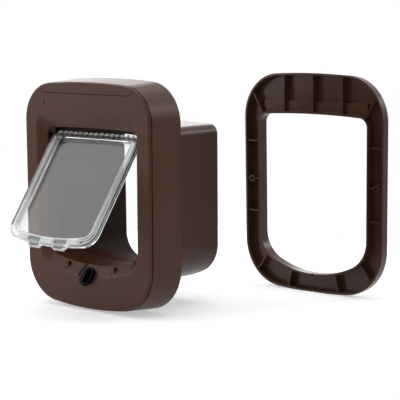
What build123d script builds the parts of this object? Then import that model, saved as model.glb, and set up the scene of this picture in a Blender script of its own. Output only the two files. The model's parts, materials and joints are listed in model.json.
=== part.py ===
import math
import os

from build123d import *

os.makedirs("parts", exist_ok=True)

# Inner frame: the moulding that faces the room, origin between its two fixing holes on the door side
FRAME_HALF = 100.5
FRAME_HALF_LOW = 99.0
FRAME_TOP = 127.0
FRAME_LOW = -127.0
FRAME_CROWN = 5.9
FRAME_DIP = 11.3
FRAME_R_TOP = 44.0
FRAME_R_LOW = 50.5
FRAME_DEPTH = 45.0
FRAME_DRAFT = 3.5
WALL = 2.8
EDGE_DEPTHS = [1.2, 0.7, 0.4]
EDGE_DRAFTS = [18.0, 42.0, 66.0]
SHADOW_BACK = 0.5
SHADOW_W = 1.6
SHADOW_DEPTH = 1.0
STAND_FLAT = 0.4

# Dished recess: its lip in the front face, and the straight throat that it runs into
LIP_HALF = 78.6
LIP_HALF_LOW = 77.6
LIP_TOP = 88.3
LIP_LOW = -89.0
LIP_CROWN = 2.5
LIP_DIP = 15.0
LIP_R_TOP = 10.0
LIP_R_LOW = 24.0
LIP_ROUND = 3.5
DISH_DEPTH = 9.0
THROAT_HALF = 71.0
THROAT_HALF_LOW = 70.5
THROAT_TOP = 74.0
THROAT_LOW = -76.5
THROAT_CROWN = 1.5
THROAT_DIP = 10.0
THROAT_R_TOP = 9.0
THROAT_R_LOW = 20.0
THROAT_LEN = 12.0
RECESS_WALL = 2.6

# Tunnel through the door: outer sleeve with its rear plate, and the liner inside it
TUNNEL_HALF = 77.0
TUNNEL_TAPER = 0.8
TUNNEL_TOP = 76.5
TUNNEL_LOW = -103.5
TUNNEL_CROWN = 2.6
TUNNEL_DIP = 24.0
TUNNEL_R_TOP = 11.0
TUNNEL_R_LOW = 36.0
TUNNEL_LENGTH = 85.0
TUNNEL_EDGE = 1.6
END_WALL = 2.5
SLEEVE_WALL = 2.4
LINER_GAP = 2.0
LINER_WALL = 2.0
PLATE_T = 3.0
PLATE_INSET = 0.4
FIT = 0.3
SNUG = 0.1
COIL_Y = 12.0
COIL_W = 36.0
COIL_T = 1.4

# Sill: level with the throat, then a joint and a low ramp
SILL_LEN = 44.0
SILL_LEVEL = 27.0
SILL_RISE = 2.5
SILL_WALL = 2.2
JOINT_W = 1.6
JOINT_DEPTH = 1.4

# Fixing screws that pull the two frames together through the door
FIX_X = 92.0
FIX_PILOT_R = 1.7
FIX_DEPTH = 22.0
FIX_BOSS_R = 4.6

# Case screws that hold the rear plate, one in each lower corner
CASE_X = 70.0
CASE_Z = -96.0
CASE_POST_W = 8.0
CASE_PILOT_R = 1.25
CASE_PILOT_DEPTH = 16.0
CASE_HEAD_R = 2.6
CASE_HEAD_H = 1.8
CASE_SHANK = 12.0

# Flap: hangs on a pin at each top corner, shown swung open into the room
HINGE_SETBACK = 7.0
HINGE_Z = 62.0
FLAP_OPEN = 34.5
FLAP_HALF = 67.0
FLAP_HALF_LOW = 66.5
FLAP_HEAD = 3.2
FLAP_DROP = 131.5
FLAP_DIP = 6.0
FLAP_R_TOP = 3.0
FLAP_R_LOW = 17.0
FLAP_T = 8.0
FLAP_PANEL_T = 2.4
FLAP_RIM = 7.5
FLAP_LOW_RIM = 8.0
FLAP_CROWN = 0.5
FLAP_BEVEL = 1.0
STRIP_LOW = 2.4
TOOTH_PITCH = 8.2
TOOTH_COUNT = 15
TOOTH_GAP = 1.8
TOOTH_EDGE = 1.7
TOOTH_DEPTH = 2.2
LUG_X = 19.0
LUG_W = 15.0
LUG_H = 3.8
LUG_FLARE = 3.0
LUG_SINK = 2.5
LUG_STEP = 1.2
PIN_R = 1.5
PIN_CLEAR = 0.05
PIN_IN = 52.0
PIN_END = 0.5
BUSH_R = 3.6
SIDE_GAP = 1.0
BUSH_LEN = 11.0
BUSH_CAP = 4.0
MAGNET_X = 20.5
MAGNET_W = 21.0
MAGNET_H = 5.0
MAGNET_T = 4.0
MAGNET_UP = 0.6

# Lock dial in a round pocket in the lower lip
DIAL_UP = 3.5
DIAL_R = 8.0
DIAL_T = 4.0
DIAL_LIFT = 0.4
TIP_R = 8.5
TIP_OUT = 6.0
DIAL_CHAMFER = 0.8
GRIP_W = 5.0
GRIP_L = 16.0
GRIP_H = 3.6
GRIP_DRAFT = 8.0
POCKET_CLEAR = 1.0
POCKET_DEPTH = 1.0
BOSS_RING = 1.5
BOSS_T = 4.2
DIAL_SHAFT_R = 3.0
DIAL_CLEAR = 0.05
CLIP_W = 7.6
CLIP_T = 1.6
SHAFT_END = 0.6

# Latch: two pegs on a bar, lifted through slots in the dish by a solenoid
PEG_X = 36.4
PEG_SETBACK = 5.0
PEG_W = 4.0
PEG_CLEAR = 0.7
PEG_TIP = -75.0
SLOT_H = 24.0
LATCH_BAR_Z = -105.0
LATCH_BAR_H = 3.0
PLUNGER_X = 18.0
PLUNGER_BACK = 6.0
PLUNGER_W = 3.2
PLUNGER_L = 12.0
PLUNGER_TAB = 2.4
SOLENOID_W = 16.0
SOLENOID_D = 12.0
SOLENOID_H = 11.6
SOLENOID_GAP = 0.4

# Battery bay under the cover in the top of the frame
COVER_HALF = 71.0
COVER_LOW = 112.0
COVER_BACK = -4.4
COVER_GAP = 0.6
COVER_CORNER = 4.0
COVER_OVER = 6.0
CELL_R = 7.1
CELL_L = 50.0
CELL_Z = 103.5
CELL_FIT = 0.1
CONTACT_T = 0.6
CONTACT_W = 9.0
CONTACT_H = 11.0
CONTACT_ROOM = 0.7
TRAY_T = 1.4
TRAY_H = 13.0
TRAY_GAP = 0.2
BOARD_HALF = 55.0
BOARD_W = 14.0
BOARD_T = 1.6
BOARD_Z = 79.0
BOARD_GAP = 3.6
BOARD_POST_X = 45.0
BOARD_POST_IN = 3.0
BOARD_POST_W = 5.0
CHIP_W = 12.0
CHIP_D = 10.0
CHIP_H = 1.8
CHIP_X = -16.0
RELAY_W = 9.0
RELAY_H = 7.5
RELAY_X = 26.0
SWITCH_W = 8.0
SWITCH_H = 5.0
SWITCH_STEP = 7.6
SWITCH_FLOOR = 0.8
LEDGE_OUT = 16.6
LEDGE_D = 12.0
BUTTON_W = 3.6
BUTTON_L = 7.0
BUTTON_TRAVEL = 1.0
BUTTON_SPARE = 0.2
LED_X = -65.8
LED_Z = 101.2
LED_W = 1.8
LED_H = 5.6
LED_L = 5.0
LED_PROUD = 0.1

# Outer frame: stands beside the inner one, ribbed door side to the front
OUTER_X = 111.0
OUTER_Y = 207.0
OUTER_HALF = 102.5
OUTER_HALF_LOW = 100.5
OUTER_CROWN = 5.8
OUTER_DIP = 8.0
OUTER_R_TOP = 52.0
OUTER_R_LOW = 54.0
OUTER_DEPTH = 12.0
OUTER_WALL = 2.4
OUTER_DRAFT = 4.0
OUTER_EDGE = 2.0
TUNNEL_CLEAR = 2.0
OPEN_TOP = 80.0
OPEN_LOW = -105.5
RIB_T = 1.7
RIB_DROP = 1.2
TOP_RIB_PITCH = 43.0
SIDE_RIB_HIGH = 45.0
SIDE_RIB_LOW = -38.0
LOW_RIB_IN = 30.0
LOW_RIB_OUT = 38.0
CORNER_IN_X = 8.0
CORNER_IN_Z = 10.0
CORNER_OUT = 4.0
LOW_CORNER_IN_X = 20.0
LOW_CORNER_IN_Z = 31.0
LOW_CORNER_OUT_X = 14.0
LOW_CORNER_OUT_Z = 13.0
FIX_CLEAR_R = 2.3
OUTER_BOSS_R = 4.0
SHELF_H = 14.0
SHELF_BACK = 5.5
SHELF_INSET = 3.0
NOTCH_W = 2.6
NOTCH_D = 5.0
NOTCH_H = 6.0

# Planes and places that follow from the sizes above
face_y = -FRAME_DEPTH
throat_y = face_y + DISH_DEPTH
mouth_y = throat_y + THROAT_LEN
hinge_y = throat_y + HINGE_SETBACK
peg_y = face_y + PEG_SETBACK
bush_in = FLAP_HALF + SIDE_GAP
bush_out = bush_in + BUSH_LEN
pin_out = bush_out - BUSH_CAP - PIN_END
plate_y = -PLATE_INSET - PLATE_T
liner_inset = SLEEVE_WALL + LINER_GAP
stand = Plane.XY.offset(FRAME_LOW + STAND_FLAT)
to_back = (Align.CENTER, Align.CENTER, Align.MIN)
to_front = (Align.CENTER, Align.CENTER, Align.MAX)
forward = (Align.CENTER, Align.MAX, Align.CENTER)
backward = (Align.CENTER, Align.MIN, Align.CENTER)


def outline(plane, half_top, half_low, top, low, crown, dip, r_top, r_low):
    """One rounded door outline: crowned top, near straight sides, bowed bottom."""
    with BuildSketch(plane) as profile:
        with BuildLine():
            ThreePointArc((-half_top, top - crown), (0, top), (half_top, top - crown))
            Line((half_top, top - crown), (half_low, low + dip))
            ThreePointArc((half_low, low + dip), (0, low), (-half_low, low + dip))
            Line((-half_low, low + dip), (-half_top, top - crown))
        make_face()
        fillet(profile.vertices().sort_by(Axis.Y)[:2], r_low)
        fillet(profile.vertices().sort_by(Axis.Y)[-2:], r_top)
    return profile.sketch


def frame_outline(y, inset):
    """The inner frame's outline, set in by the given amount, on the plane at y."""
    return outline(
        Plane.XZ.offset(-y),
        FRAME_HALF - inset,
        FRAME_HALF_LOW - inset,
        FRAME_TOP - inset,
        FRAME_LOW + inset,
        FRAME_CROWN,
        FRAME_DIP,
        FRAME_R_TOP - inset,
        FRAME_R_LOW - inset,
    )


def lip_outline(y, grow):
    """The recess where it leaves the front face, grown by the given amount, at y."""
    return outline(
        Plane.XZ.offset(-y),
        LIP_HALF + grow,
        LIP_HALF_LOW + grow,
        LIP_TOP + grow,
        LIP_LOW - grow,
        LIP_CROWN,
        LIP_DIP,
        LIP_R_TOP + grow,
        LIP_R_LOW + grow,
    )


def throat_outline(y, grow, lift=0.0):
    """The throat behind the dish, grown all round, with its floor lifted, at y."""
    return outline(
        Plane.XZ.offset(-y),
        THROAT_HALF + grow,
        THROAT_HALF_LOW + grow,
        THROAT_TOP + grow,
        THROAT_LOW - grow + lift,
        THROAT_CROWN,
        THROAT_DIP,
        THROAT_R_TOP + grow,
        THROAT_R_LOW + grow,
    )


def tunnel_outline(y, inset):
    """The tunnel's section, set in by the given amount, on the plane at y."""
    return outline(
        Plane.XZ.offset(-y),
        TUNNEL_HALF - inset,
        TUNNEL_HALF - TUNNEL_TAPER - inset,
        TUNNEL_TOP - inset,
        TUNNEL_LOW + inset,
        TUNNEL_CROWN,
        TUNNEL_DIP,
        TUNNEL_R_TOP - inset,
        TUNNEL_R_LOW - inset,
    )


def outer_outline(y, inset):
    """The outer frame's outline, set in by the given amount, at y."""
    return outline(
        Plane(origin=(OUTER_X, y, 0), x_dir=(1, 0, 0), z_dir=(0, -1, 0)),
        OUTER_HALF - inset,
        OUTER_HALF_LOW - inset,
        FRAME_TOP - inset,
        FRAME_LOW + inset,
        OUTER_CROWN,
        OUTER_DIP,
        OUTER_R_TOP - inset,
        OUTER_R_LOW - inset,
    )


def opening_outline(y, grow):
    """The outer frame's opening round the tunnel, grown by the given amount, at y."""
    half = TUNNEL_HALF + TUNNEL_CLEAR
    return outline(
        Plane(origin=(OUTER_X, y, 0), x_dir=(1, 0, 0), z_dir=(0, -1, 0)),
        half + grow,
        half - TUNNEL_TAPER + grow,
        OPEN_TOP + grow,
        OPEN_LOW - grow,
        TUNNEL_CROWN,
        TUNNEL_DIP,
        TUNNEL_R_TOP + grow,
        TUNNEL_R_LOW + grow,
    )


# Slope of the dish at the bottom of the recess, and the dial's seat on it
dish_rise = THROAT_LOW - LIP_LOW
dish_len = math.hypot(DISH_DEPTH, dish_rise)
dish_normal = (0, -dish_rise / dish_len, DISH_DEPTH / dish_len)
dial_at = (0, face_y + DIAL_UP * DISH_DEPTH / dish_len, LIP_LOW + DIAL_UP * dish_rise / dish_len)
dial_plane = Plane(origin=dial_at, x_dir=(1, 0, 0), z_dir=dish_normal)
pocket_floor = dial_plane.offset(-POCKET_DEPTH)
pocket_r = TIP_OUT + TIP_R + POCKET_CLEAR

# Solenoid seat on the frame's floor
plunger_y = peg_y + PLUNGER_BACK
bar_low = LATCH_BAR_Z - LATCH_BAR_H
solenoid_top = bar_low - SOLENOID_GAP

# Shadow line round the drafted sides, just behind the rolled edge of the front
shadow_y = face_y + sum(EDGE_DEPTHS) + SHADOW_BACK + SHADOW_W
shadow_inset = SHADOW_DEPTH - shadow_y * math.tan(math.radians(FRAME_DRAFT))
with BuildPart() as shadow_line:
    extrude(frame_outline(shadow_y, 0), amount=SHADOW_W)
    extrude(frame_outline(shadow_y, shadow_inset), amount=SHADOW_W, mode=Mode.SUBTRACT)

# Outside of the inner frame: drafted sides, rolled over to the front face in three steps
with BuildPart() as frame_blank:
    extrude(frame_outline(0, 0), amount=FRAME_DEPTH - sum(EDGE_DEPTHS), taper=FRAME_DRAFT)
    for depth, draft in zip(EDGE_DEPTHS, EDGE_DRAFTS):
        extrude(frame_blank.faces().sort_by(Axis.Y)[0], amount=depth, taper=draft)
    add(shadow_line.part, mode=Mode.SUBTRACT)

# Inside of the inner frame, less the posts, bosses and seats that stand in it
with BuildPart() as frame_hollow:
    extrude(frame_outline(0, WALL), amount=FRAME_DEPTH - WALL, taper=FRAME_DRAFT)
    for x in (-CASE_X, CASE_X):
        with Locations((x, plate_y - FIT, CASE_Z)):
            Box(CASE_POST_W, FRAME_DEPTH, CASE_POST_W, align=forward, mode=Mode.SUBTRACT)
    for x in (-FIX_X, FIX_X):
        with Locations((x, 0, 0)):
            Cylinder(FIX_BOSS_R, FRAME_DEPTH, rotation=(90, 0, 0), align=to_back, mode=Mode.SUBTRACT)
    with Locations(pocket_floor):
        Cylinder(pocket_r + BOSS_RING, 2 * BOSS_T, mode=Mode.SUBTRACT)
    with Locations((PLUNGER_X, plunger_y, solenoid_top - SOLENOID_H)):
        Box(SOLENOID_W, SOLENOID_D, SOLENOID_H, align=to_front, mode=Mode.SUBTRACT)

# The part of the frame's top that the battery cover replaces
cover_len = FRAME_DEPTH + COVER_BACK + COVER_OVER
cover_top = FRAME_TOP + COVER_OVER


def cover_sketch(grow):
    """The cover's front outline, grown by the gap round it, drawn at its rear end."""
    with BuildSketch(Plane.XZ.offset(-COVER_BACK - grow)) as window:
        with BuildLine():
            Polyline(
                (-COVER_HALF - grow, cover_top),
                (-COVER_HALF - grow, COVER_LOW - grow),
                (COVER_HALF + grow, COVER_LOW - grow),
                (COVER_HALF + grow, cover_top),
                close=True,
            )
        make_face()
        fillet(window.vertices().sort_by(Axis.Y)[:2], COVER_CORNER + grow)
    return window.sketch


# Shell of the inner frame with its rounded front edge, dish, throat, pocket and slots
skin_start = 1.0
lip_skin = lip_outline(face_y + skin_start, RECESS_WALL)
throat_skin = throat_outline(throat_y, RECESS_WALL)
lip_cut = lip_outline(face_y, 0)
throat_cut = throat_outline(throat_y, 0)
with BuildPart() as inner_frame:
    add(frame_blank.part)
    add(frame_hollow.part, mode=Mode.SUBTRACT)
    loft([throat_skin.face(), lip_skin.face()], ruled=True)
    extrude(throat_skin, amount=THROAT_LEN, dir=(0, 1, 0))
    loft([throat_cut.face(), lip_cut.face()], ruled=True, mode=Mode.SUBTRACT)
    extrude(throat_cut, amount=THROAT_LEN, dir=(0, 1, 0), mode=Mode.SUBTRACT)
    fillet(inner_frame.faces().sort_by(Axis.Y)[0].inner_wires()[0].edges(), LIP_ROUND)
    for x in (-CASE_X, CASE_X):
        with Locations((x, 0, CASE_Z)):
            Cylinder(CASE_PILOT_R, CASE_PILOT_DEPTH, rotation=(90, 0, 0), align=to_back, mode=Mode.SUBTRACT)
    for x in (-FIX_X, FIX_X):
        with Locations((x, 0, 0)):
            Cylinder(FIX_PILOT_R, FIX_DEPTH, rotation=(90, 0, 0), align=to_back, mode=Mode.SUBTRACT)
    extrude(cover_sketch(COVER_GAP), amount=cover_len, mode=Mode.SUBTRACT)
    with Locations((LED_X, face_y + WALL / 2, LED_Z)):
        Box(LED_W + 2 * SNUG, 2 * WALL, LED_H + 2 * SNUG, mode=Mode.SUBTRACT)
    for x in (-PEG_X, PEG_X):
        with Locations((x, peg_y, PEG_TIP)):
            Box(PEG_W + 2 * PEG_CLEAR, PEG_W + 2 * PEG_CLEAR, SLOT_H, mode=Mode.SUBTRACT)
    with Locations(pocket_floor):
        Cylinder(pocket_r, FRAME_DEPTH, align=to_back, mode=Mode.SUBTRACT)
        Cylinder(DIAL_SHAFT_R + DIAL_CLEAR, 4 * BOSS_T, mode=Mode.SUBTRACT)
    for side in (-1, 1):
        with Locations((side * (bush_in + bush_out) / 2, hinge_y, HINGE_Z)):
            Cylinder(BUSH_R + SNUG, BUSH_LEN, rotation=(0, 90, 0), mode=Mode.SUBTRACT)
    split(bisect_by=stand)
inner_frame.part.label = "inner_frame"
export_step(inner_frame.part, "parts/inner_frame.step")

# Cover over the battery bay, cut from the same shell
with BuildPart() as battery_cover:
    add(frame_blank.part)
    add(frame_hollow.part, mode=Mode.SUBTRACT)
    extrude(cover_sketch(0), amount=cover_len, mode=Mode.INTERSECT)
battery_cover.part.label = "battery_cover"
export_step(battery_cover.part, "parts/battery_cover.step")

# Outer sleeve of the tunnel with the plate that closes the frame's back
sleeve_len = TUNNEL_LENGTH - plate_y
sleeve_bore = tunnel_outline(plate_y, SLEEVE_WALL)
end_bore = tunnel_outline(plate_y, liner_inset - SNUG)
with BuildPart() as tunnel:
    extrude(frame_outline(-PLATE_INSET, WALL + FIT), amount=PLATE_T)
    extrude(tunnel_outline(plate_y, 0), amount=sleeve_len, dir=(0, 1, 0))
    chamfer(tunnel.faces().sort_by(Axis.Y)[-1].edges(), TUNNEL_EDGE)
    extrude(sleeve_bore, amount=sleeve_len - END_WALL, dir=(0, 1, 0), mode=Mode.SUBTRACT)
    extrude(end_bore, amount=sleeve_len, dir=(0, 1, 0), mode=Mode.SUBTRACT)
    for x in (-FIX_X, FIX_X):
        with Locations((x, plate_y, 0)):
            Cylinder(FIX_BOSS_R + FIT, 4 * PLATE_T, rotation=(90, 0, 0), mode=Mode.SUBTRACT)
    for x in (-CASE_X, CASE_X):
        with Locations((x, plate_y, CASE_Z)):
            Cylinder(CASE_PILOT_R + FIT, 4 * PLATE_T, rotation=(90, 0, 0), mode=Mode.SUBTRACT)
        with Locations((x, -PLATE_INSET, CASE_Z)):
            Cylinder(CASE_HEAD_R + FIT, 2 * CASE_HEAD_H, rotation=(90, 0, 0), mode=Mode.SUBTRACT)
tunnel.part.label = "tunnel"
export_step(tunnel.part, "parts/tunnel.step")

# Screws in the counterbores of the rear plate
with BuildPart() as case_screws:
    for x in (-CASE_X, CASE_X):
        with Locations((x, -PLATE_INSET - CASE_HEAD_H, CASE_Z)):
            Cylinder(CASE_HEAD_R, CASE_HEAD_H - SNUG, rotation=(-90, 0, 0), align=to_back)
            Cylinder(CASE_PILOT_R - SNUG, CASE_SHANK, rotation=(90, 0, 0), align=to_back)
case_screws.part.label = "case_screws"
export_step(case_screws.part, "parts/case_screws.step")

# Liner the cat walks through, from the throat to the tunnel's end
liner_front = mouth_y + SNUG
liner_len = TUNNEL_LENGTH - PLATE_INSET - liner_front
with BuildPart() as tunnel_liner:
    extrude(tunnel_outline(liner_front, liner_inset), amount=liner_len, dir=(0, 1, 0))
    extrude(
        tunnel_outline(liner_front, liner_inset + LINER_WALL),
        amount=liner_len,
        dir=(0, 1, 0),
        mode=Mode.SUBTRACT,
    )
tunnel_liner.part.label = "tunnel_liner"
export_step(tunnel_liner.part, "parts/tunnel_liner.step")

# Aerial coil between the liner and the sleeve, wound on the liner
with BuildPart() as reader_coil:
    extrude(tunnel_outline(COIL_Y, liner_inset - SNUG - COIL_T), amount=COIL_W, dir=(0, 1, 0))
    extrude(tunnel_outline(COIL_Y, liner_inset - SNUG), amount=COIL_W, dir=(0, 1, 0), mode=Mode.SUBTRACT)
reader_coil.part.label = "reader_coil"
export_step(reader_coil.part, "parts/reader_coil.step")

# Sill that carries the throat's floor on into the liner, hollow underneath
sill_y = liner_front + SNUG
joint_y = sill_y + SILL_LEVEL
sill_end = sill_y + SILL_LEN
sill_inset = liner_inset + LINER_WALL + SNUG
with BuildPart() as sill_hollow:
    extrude(tunnel_outline(sill_y, sill_inset + SILL_WALL), amount=SILL_LEN - SILL_WALL, dir=(0, 1, 0))
    extrude(throat_outline(sill_y, SILL_WALL), amount=SILL_LEN, dir=(0, 1, 0), mode=Mode.SUBTRACT)
with BuildPart() as sill:
    extrude(tunnel_outline(sill_y, sill_inset), amount=SILL_LEN, dir=(0, 1, 0))
    extrude(throat_outline(sill_y, 0), amount=SILL_LEVEL, dir=(0, 1, 0), mode=Mode.SUBTRACT)
    extrude(throat_outline(joint_y, JOINT_DEPTH), amount=JOINT_W, dir=(0, 1, 0), mode=Mode.SUBTRACT)
    loft(
        [throat_outline(joint_y, 0).face(), throat_outline(sill_end, 0, SILL_RISE).face()],
        ruled=True,
        mode=Mode.SUBTRACT,
    )
    add(sill_hollow.part, mode=Mode.SUBTRACT)
sill.part.label = "sill"
export_step(sill.part, "parts/sill.step")

# Flap in its own plane, swung open about the hinge line
open_rad = math.radians(FLAP_OPEN)
flap_normal = (0, -math.cos(open_rad), math.sin(open_rad))
hinge_at = (0, hinge_y, HINGE_Z)
flap_plane = Plane(origin=hinge_at, x_dir=(1, 0, 0), z_dir=flap_normal)
flap_rear = flap_plane.offset(-FLAP_T / 2)
flap_back = outline(
    flap_rear,
    FLAP_HALF,
    FLAP_HALF_LOW,
    FLAP_HEAD,
    -FLAP_DROP,
    FLAP_CROWN,
    FLAP_DIP,
    FLAP_R_TOP,
    FLAP_R_LOW,
)
flap_tray = outline(
    flap_rear.offset(FLAP_PANEL_T),
    FLAP_HALF - FLAP_RIM,
    FLAP_HALF_LOW - FLAP_RIM,
    -STRIP_LOW,
    -FLAP_DROP + FLAP_LOW_RIM,
    FLAP_CROWN,
    FLAP_DIP,
    FLAP_R_TOP,
    FLAP_R_LOW - FLAP_RIM,
)
with BuildSketch(flap_rear.offset(LUG_STEP)) as lugs:
    for side in (-1, 1):
        with BuildLine():
            Polyline(
                (side * LUG_X - LUG_W / 2 - LUG_FLARE, -FLAP_DROP + LUG_SINK),
                (side * LUG_X - LUG_W / 2, -FLAP_DROP - LUG_H),
                (side * LUG_X + LUG_W / 2, -FLAP_DROP - LUG_H),
                (side * LUG_X + LUG_W / 2 + LUG_FLARE, -FLAP_DROP + LUG_SINK),
                close=True,
            )
        make_face()
magnet_mid = -FLAP_DROP + FLAP_LOW_RIM / 2 + MAGNET_UP
magnet_plane = Plane(
    origin=flap_rear.from_local_coords((0, magnet_mid, 0)),
    x_dir=(1, 0, 0),
    z_dir=flap_normal,
)
tooth_h = FLAP_HEAD + STRIP_LOW - 2 * TOOTH_EDGE
with BuildPart() as flap:
    extrude(flap_back, amount=FLAP_T)
    extrude(flap_tray, amount=FLAP_T, mode=Mode.SUBTRACT)
    chamfer(flap.faces().sort_by(Axis(hinge_at, flap_normal))[-1].edges(), FLAP_BEVEL)
    extrude(lugs.sketch, amount=FLAP_T - 2 * LUG_STEP)
    with Locations(flap_plane.offset(FLAP_T / 2)):
        with Locations((0, (FLAP_HEAD - STRIP_LOW) / 2, 0)):
            with GridLocations(TOOTH_PITCH, 1, TOOTH_COUNT, 1):
                Box(TOOTH_PITCH - TOOTH_GAP, tooth_h, 2 * TOOTH_DEPTH, mode=Mode.SUBTRACT)
    with Locations(magnet_plane):
        for side in (-1, 1):
            with Locations((side * MAGNET_X, 0, 0)):
                Box(MAGNET_W + 2 * SNUG, MAGNET_H + 2 * SNUG, 2 * (MAGNET_T + SNUG), mode=Mode.SUBTRACT)
    for side in (-1, 1):
        with Locations((side * (PIN_IN + FLAP_HALF) / 2, hinge_y, HINGE_Z)):
            Cylinder(PIN_R, FLAP_HALF - PIN_IN, rotation=(0, 90, 0), mode=Mode.SUBTRACT)
flap.part.label = "flap"
export_step(flap.part, "parts/flap.step")

# Two magnets in the pockets behind the flap's lower rim
with BuildPart() as flap_magnets:
    with Locations(magnet_plane):
        for side in (-1, 1):
            with Locations((side * MAGNET_X, 0, 0)):
                Box(MAGNET_W, MAGNET_H, MAGNET_T, align=to_back)
flap_magnets.part.label = "flap_magnets"
export_step(flap_magnets.part, "parts/flap_magnets.step")

# Steel hinge pins, fast in the flap
with BuildPart() as hinge_pins:
    for side in (-1, 1):
        with Locations((side * (PIN_IN + pin_out) / 2, hinge_y, HINGE_Z)):
            Cylinder(PIN_R, pin_out - PIN_IN, rotation=(0, 90, 0))
hinge_pins.part.label = "hinge_pins"
export_step(hinge_pins.part, "parts/hinge_pins.step")

# Blind bushes in the throat's sides, in which the pins turn
bush_bore = pin_out + PIN_END - bush_in
with BuildPart() as hinge_bushes:
    for side in (-1, 1):
        with Locations((side * (bush_in + bush_out) / 2, hinge_y, HINGE_Z)):
            Cylinder(BUSH_R, BUSH_LEN, rotation=(0, 90, 0))
        with Locations((side * (bush_in + bush_bore / 2), hinge_y, HINGE_Z)):
            Cylinder(PIN_R + PIN_CLEAR, bush_bore, rotation=(0, 90, 0), mode=Mode.SUBTRACT)
hinge_bushes.part.label = "hinge_bushes"
export_step(hinge_bushes.part, "parts/hinge_bushes.step")

# Lock dial: a pointer plate that overhangs the lip, a finger grip and the shaft
dial_base = pocket_floor.offset(DIAL_LIFT)
with BuildSketch(dial_base) as pointer:
    Circle(DIAL_R)
    with Locations((0, -TIP_OUT)):
        Circle(TIP_R)
    make_hull()
with BuildSketch(dial_base.offset(DIAL_T)) as grip:
    with Locations((0, -TIP_OUT / 2)):
        Rectangle(GRIP_W, GRIP_L)
shaft_len = DIAL_LIFT + BOSS_T + SNUG + CLIP_T + SHAFT_END
with BuildPart() as lock_dial:
    extrude(pointer.sketch, amount=DIAL_T)
    chamfer(lock_dial.faces().sort_by(Axis(dial_at, dish_normal))[-1].edges(), DIAL_CHAMFER)
    extrude(grip.sketch, amount=GRIP_H, taper=GRIP_DRAFT)
    with Locations(dial_base):
        Cylinder(DIAL_SHAFT_R, shaft_len, align=to_front)
lock_dial.part.label = "lock_dial"
export_step(lock_dial.part, "parts/lock_dial.step")

# Clip on the end of the dial's shaft, under its boss
with BuildPart() as lock_clip:
    with Locations(pocket_floor.offset(-BOSS_T - SNUG)):
        Box(CLIP_W, CLIP_W, CLIP_T, align=to_front)
        Cylinder(DIAL_SHAFT_R, 4 * CLIP_T, mode=Mode.SUBTRACT)
lock_clip.part.label = "lock_clip"
export_step(lock_clip.part, "parts/lock_clip.step")

# Latch bar with two pegs and the tab that the plunger lifts
tab_len = PLUNGER_BACK + PLUNGER_TAB + PEG_W / 2
with BuildPart() as latch:
    with Locations((0, peg_y, LATCH_BAR_Z)):
        Box(2 * PEG_X + PEG_W, PEG_W, LATCH_BAR_H, align=to_front)
    with Locations((PLUNGER_X, peg_y - PEG_W / 2, LATCH_BAR_Z)):
        Box(2 * PLUNGER_TAB + PLUNGER_W, tab_len, LATCH_BAR_H, align=(Align.CENTER, Align.MIN, Align.MAX))
    for x in (-PEG_X, PEG_X):
        with Locations((x, peg_y, LATCH_BAR_Z)):
            Box(PEG_W, PEG_W, PEG_TIP - LATCH_BAR_Z, align=to_back)
latch.part.label = "latch"
export_step(latch.part, "parts/latch.step")

# Steel plunger under the latch's tab
with BuildPart() as plunger:
    with Locations((PLUNGER_X, plunger_y, bar_low)):
        Box(PLUNGER_W, PLUNGER_W, PLUNGER_L, align=to_front)
plunger.part.label = "plunger"
export_step(plunger.part, "parts/plunger.step")

# Solenoid on its seat, open for the plunger
with BuildPart() as solenoid:
    with Locations((PLUNGER_X, plunger_y, solenoid_top)):
        Box(SOLENOID_W, SOLENOID_D, SOLENOID_H, align=to_front)
        Box(PLUNGER_W + 2 * SNUG, PLUNGER_W + 2 * SNUG, 4 * SOLENOID_H, mode=Mode.SUBTRACT)
solenoid.part.label = "solenoid"
export_step(solenoid.part, "parts/solenoid.step")

# Battery tray against the front wall, with its switch shelf and board posts
row_pitch = 2 * (CELL_R + CELL_FIT)
front_row = face_y + WALL + TRAY_GAP + TRAY_T + CELL_FIT + CELL_R
cell_rows = [front_row, front_row + row_pitch]
cell_x = CELL_L / 2 + CONTACT_T
tray_mid_y = front_row + row_pitch / 2
tray_in_x = cell_x + CELL_L / 2 + 2 * CONTACT_ROOM
tray_in_y = row_pitch / 2 + CELL_R + CELL_FIT
tray_floor_z = CELL_Z - CELL_R
tray_low_z = tray_floor_z - TRAY_T
board_y = plate_y - BOARD_GAP - BOARD_W / 2
board_top = BOARD_Z + BOARD_T
shelf_x = tray_in_x + TRAY_T
switch_x = shelf_x + SWITCH_STEP + SWITCH_W / 2
with BuildPart() as battery_tray:
    with Locations((0, tray_mid_y, tray_low_z)):
        Box(2 * (tray_in_x + TRAY_T), 2 * (tray_in_y + TRAY_T), TRAY_H, align=to_back)
    with Locations((0, tray_mid_y, tray_floor_z)):
        Box(2 * tray_in_x, 2 * tray_in_y, TRAY_H, align=to_back, mode=Mode.SUBTRACT)
    with Locations((shelf_x - TRAY_T, tray_mid_y, tray_low_z)):
        Box(LEDGE_OUT + TRAY_T, LEDGE_D, TRAY_T, align=(Align.MIN, Align.CENTER, Align.MIN))
    for x in (-BOARD_POST_X, BOARD_POST_X):
        with Locations((x, board_y - BOARD_POST_IN, board_top)):
            Box(BOARD_POST_W, BOARD_POST_W, tray_low_z - board_top, align=to_back)
battery_tray.part.label = "battery_tray"
export_step(battery_tray.part, "parts/battery_tray.step")

# Four cells in two rows
with BuildPart() as batteries:
    for y in cell_rows:
        for side in (-1, 1):
            with Locations((side * cell_x, y, CELL_Z)):
                Cylinder(CELL_R - CELL_FIT / 2, CELL_L - 2 * CONTACT_ROOM, rotation=(0, 90, 0))
batteries.part.label = "batteries"
export_step(batteries.part, "parts/batteries.step")

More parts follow.
